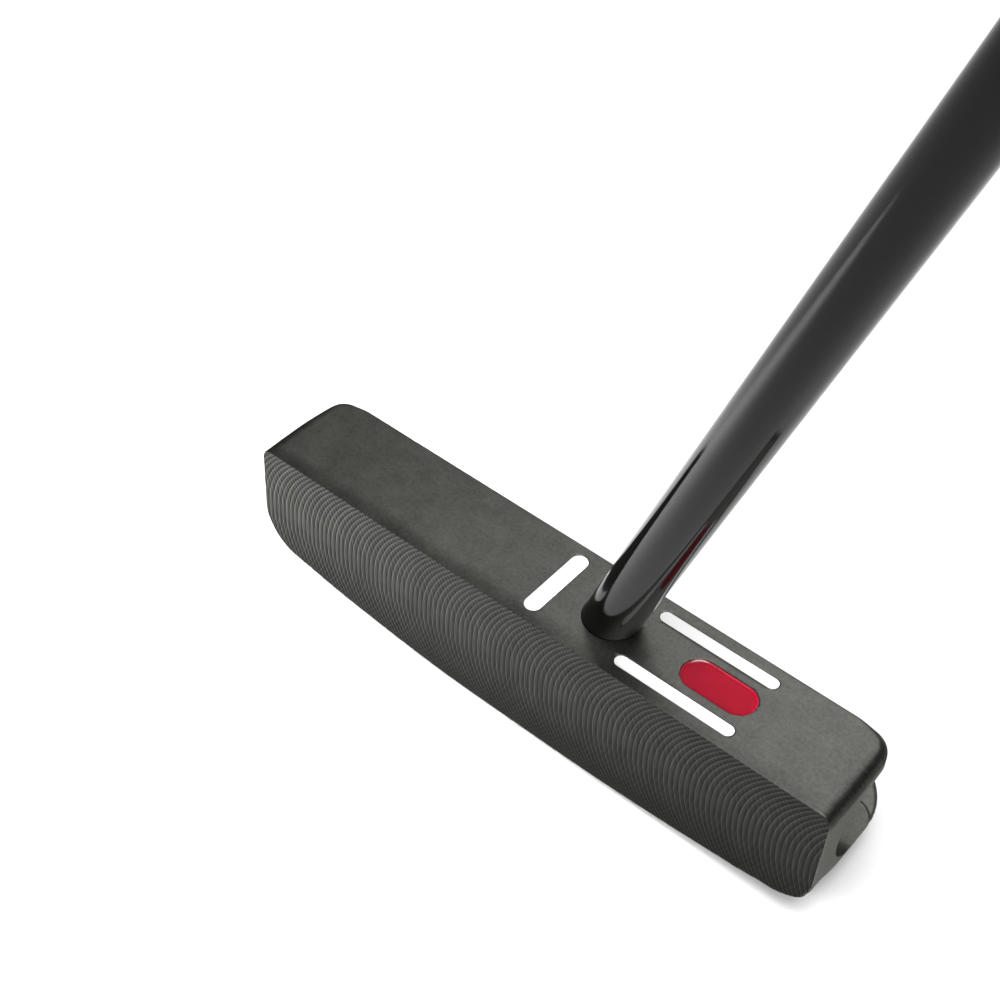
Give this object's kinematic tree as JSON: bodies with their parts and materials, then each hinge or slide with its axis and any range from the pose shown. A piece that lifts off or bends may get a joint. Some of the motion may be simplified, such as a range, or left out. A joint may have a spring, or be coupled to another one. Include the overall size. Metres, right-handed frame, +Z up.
{
  "type": "blade putter",
  "caption": "Right-handed centre-shafted blade putter with a rear cove, paint-filled sight lines, a recessed red aiming pill, a stepped tubular shaft and a flat-fronted grip.",
  "frame": {"origin": "middle of the flat of the sole, under the middle of the top plate", "axes": "+Z up from the sole; -Y is the way the striking face looks; +X towards the heel, the way the shaft leans"},
  "size_m": [0.3707, 0.0318, 0.8154],
  "materials": {
    "head_black": "bead-blasted steel with a black coating; the face has fly-cut milling arcs",
    "white_paint": "white enamel paint fill, slightly sunk",
    "red_paint": "glossy red enamel paint fill in a recess",
    "shaft_black": "glossy black coating over steel tube",
    "epoxy": "cured black epoxy",
    "plug_nylon": "moulded nylon plug",
    "tape_paper": "double-sided crepe paper tape",
    "grip_foam": "closed-cell foam sleeve",
    "grip_skin": "matte textured polymer skin with a fine embossed grain",
    "grip_cap": "moulded black rubber cap"
  },
  "bodies": {
    "root": {"head_body": "head_black", "sight_line_center": "white_paint", "guide_line_front": "white_paint", "guide_line_rear": "white_paint", "aim_pill": "red_paint", "shaft": "shaft_black", "shaft_epoxy": "epoxy", "tip_plug": "plug_nylon", "grip_tape": "tape_paper", "grip_core": "grip_foam", "grip_skin": "grip_skin", "grip_cap": "grip_cap"}
  },
  "joints": []
}
